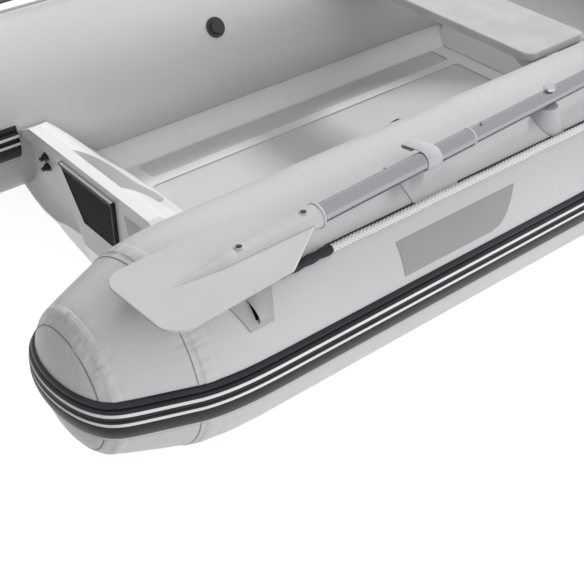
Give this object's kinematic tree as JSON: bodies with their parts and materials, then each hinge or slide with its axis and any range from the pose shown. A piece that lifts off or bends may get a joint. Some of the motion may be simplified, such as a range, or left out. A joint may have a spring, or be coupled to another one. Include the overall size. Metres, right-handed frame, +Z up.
{
  "type": "rigid-hull inflatable rowing dinghy",
  "caption": "Small rowing dinghy with inflated side tubes, a moulded V hull, a thwart, a motor transom and oars stowed on hinged rowlocks.",
  "frame": {"origin": "amidships on the centreline, at the waterline", "axes": "+X towards the bow, +Y to port, +Z up"},
  "size_m": [2.6227, 1.5064, 0.663],
  "materials": {
    "tube_fabric": "coated, satin",
    "strake_rubber": "matt",
    "stripe_rubber": "matt",
    "hull_grp": "gloss gelcoat",
    "pad_plastic": "knurled",
    "blade_plastic": "satin",
    "shaft_aluminium": "brushed, anodised",
    "grip_rubber": "matt",
    "patch_fabric": "coated, satin",
    "badge_fabric": "coated, satin",
    "rope_fibre": "braided",
    "sleeve_rubber": "ribbed",
    "fitting_plastic": "satin",
    "pin_steel": "polished"
  },
  "bodies": {
    "boat": {"aft_motor_pad": "pad_plastic", "bow_air_valve": "fitting_plastic", "bow_handle": "fitting_plastic", "bow_rub_strake": "strake_rubber", "bow_strake_stripes": "stripe_rubber", "bow_tube": "tube_fabric", "cockpit_liner": "hull_grp", "hull_bottom": "hull_grp", "inner_motor_pad": "pad_plastic", "port_air_valve": "fitting_plastic", "port_badge_patch": "badge_fabric", "port_end_cap": "tube_fabric", "port_lifeline": "rope_fibre", "port_lifeline_sleeve": "sleeve_rubber", "port_oar_strap": "patch_fabric", "port_rope_eyes": "patch_fabric", "port_rowlock_base": "fitting_plastic", "port_rowlock_pin": "pin_steel", "port_rub_strake": "strake_rubber", "port_side_tube": "tube_fabric", "port_strake_stripes": "stripe_rubber", "port_strap_patch": "patch_fabric", "port_tail_cone": "tube_fabric", "port_thwart_saddles": "fitting_plastic", "starboard_air_valve": "fitting_plastic", "starboard_badge_patch": "badge_fabric", "starboard_end_cap": "tube_fabric", "starboard_lifeline": "rope_fibre", "starboard_lifeline_sleeve": "sleeve_rubber", "starboard_oar_strap": "patch_fabric", "starboard_rope_eyes": "patch_fabric", "starboard_rowlock_base": "fitting_plastic", "starboard_rowlock_pin": "pin_steel", "starboard_rub_strake": "strake_rubber", "starboard_side_tube": "tube_fabric", "starboard_strake_stripes": "stripe_rubber", "starboard_strap_patch": "patch_fabric", "starboard_tail_cone": "tube_fabric", "starboard_thwart_saddles": "fitting_plastic", "thwart": "hull_grp", "towing_eye": "pin_steel", "transom": "hull_grp"},
    "starboard_oar": {"starboard_oar_blade": "blade_plastic", "starboard_oar_grip": "grip_rubber", "starboard_oar_loom": "shaft_aluminium", "starboard_oar_shaft": "shaft_aluminium"},
    "port_oar": {"port_oar_blade": "blade_plastic", "port_oar_grip": "grip_rubber", "port_oar_loom": "shaft_aluminium", "port_oar_shaft": "shaft_aluminium"}
  },
  "joints": [
    {"name": "starboard_rowlock_swing", "type": "hinge", "parent": "boat", "child": "starboard_oar", "pos_m": [-0.12, -0.6139, 0.4507], "axis": [0, 0, 1], "range_deg": [0, 110], "deforming": ["starboard_oar_strap"]},
    {"name": "port_rowlock_swing", "type": "hinge", "parent": "boat", "child": "port_oar", "pos_m": [-0.12, 0.6139, 0.4507], "axis": [0, 0, -1], "range_deg": [0, 110], "deforming": ["port_oar_strap"]}
  ]
}
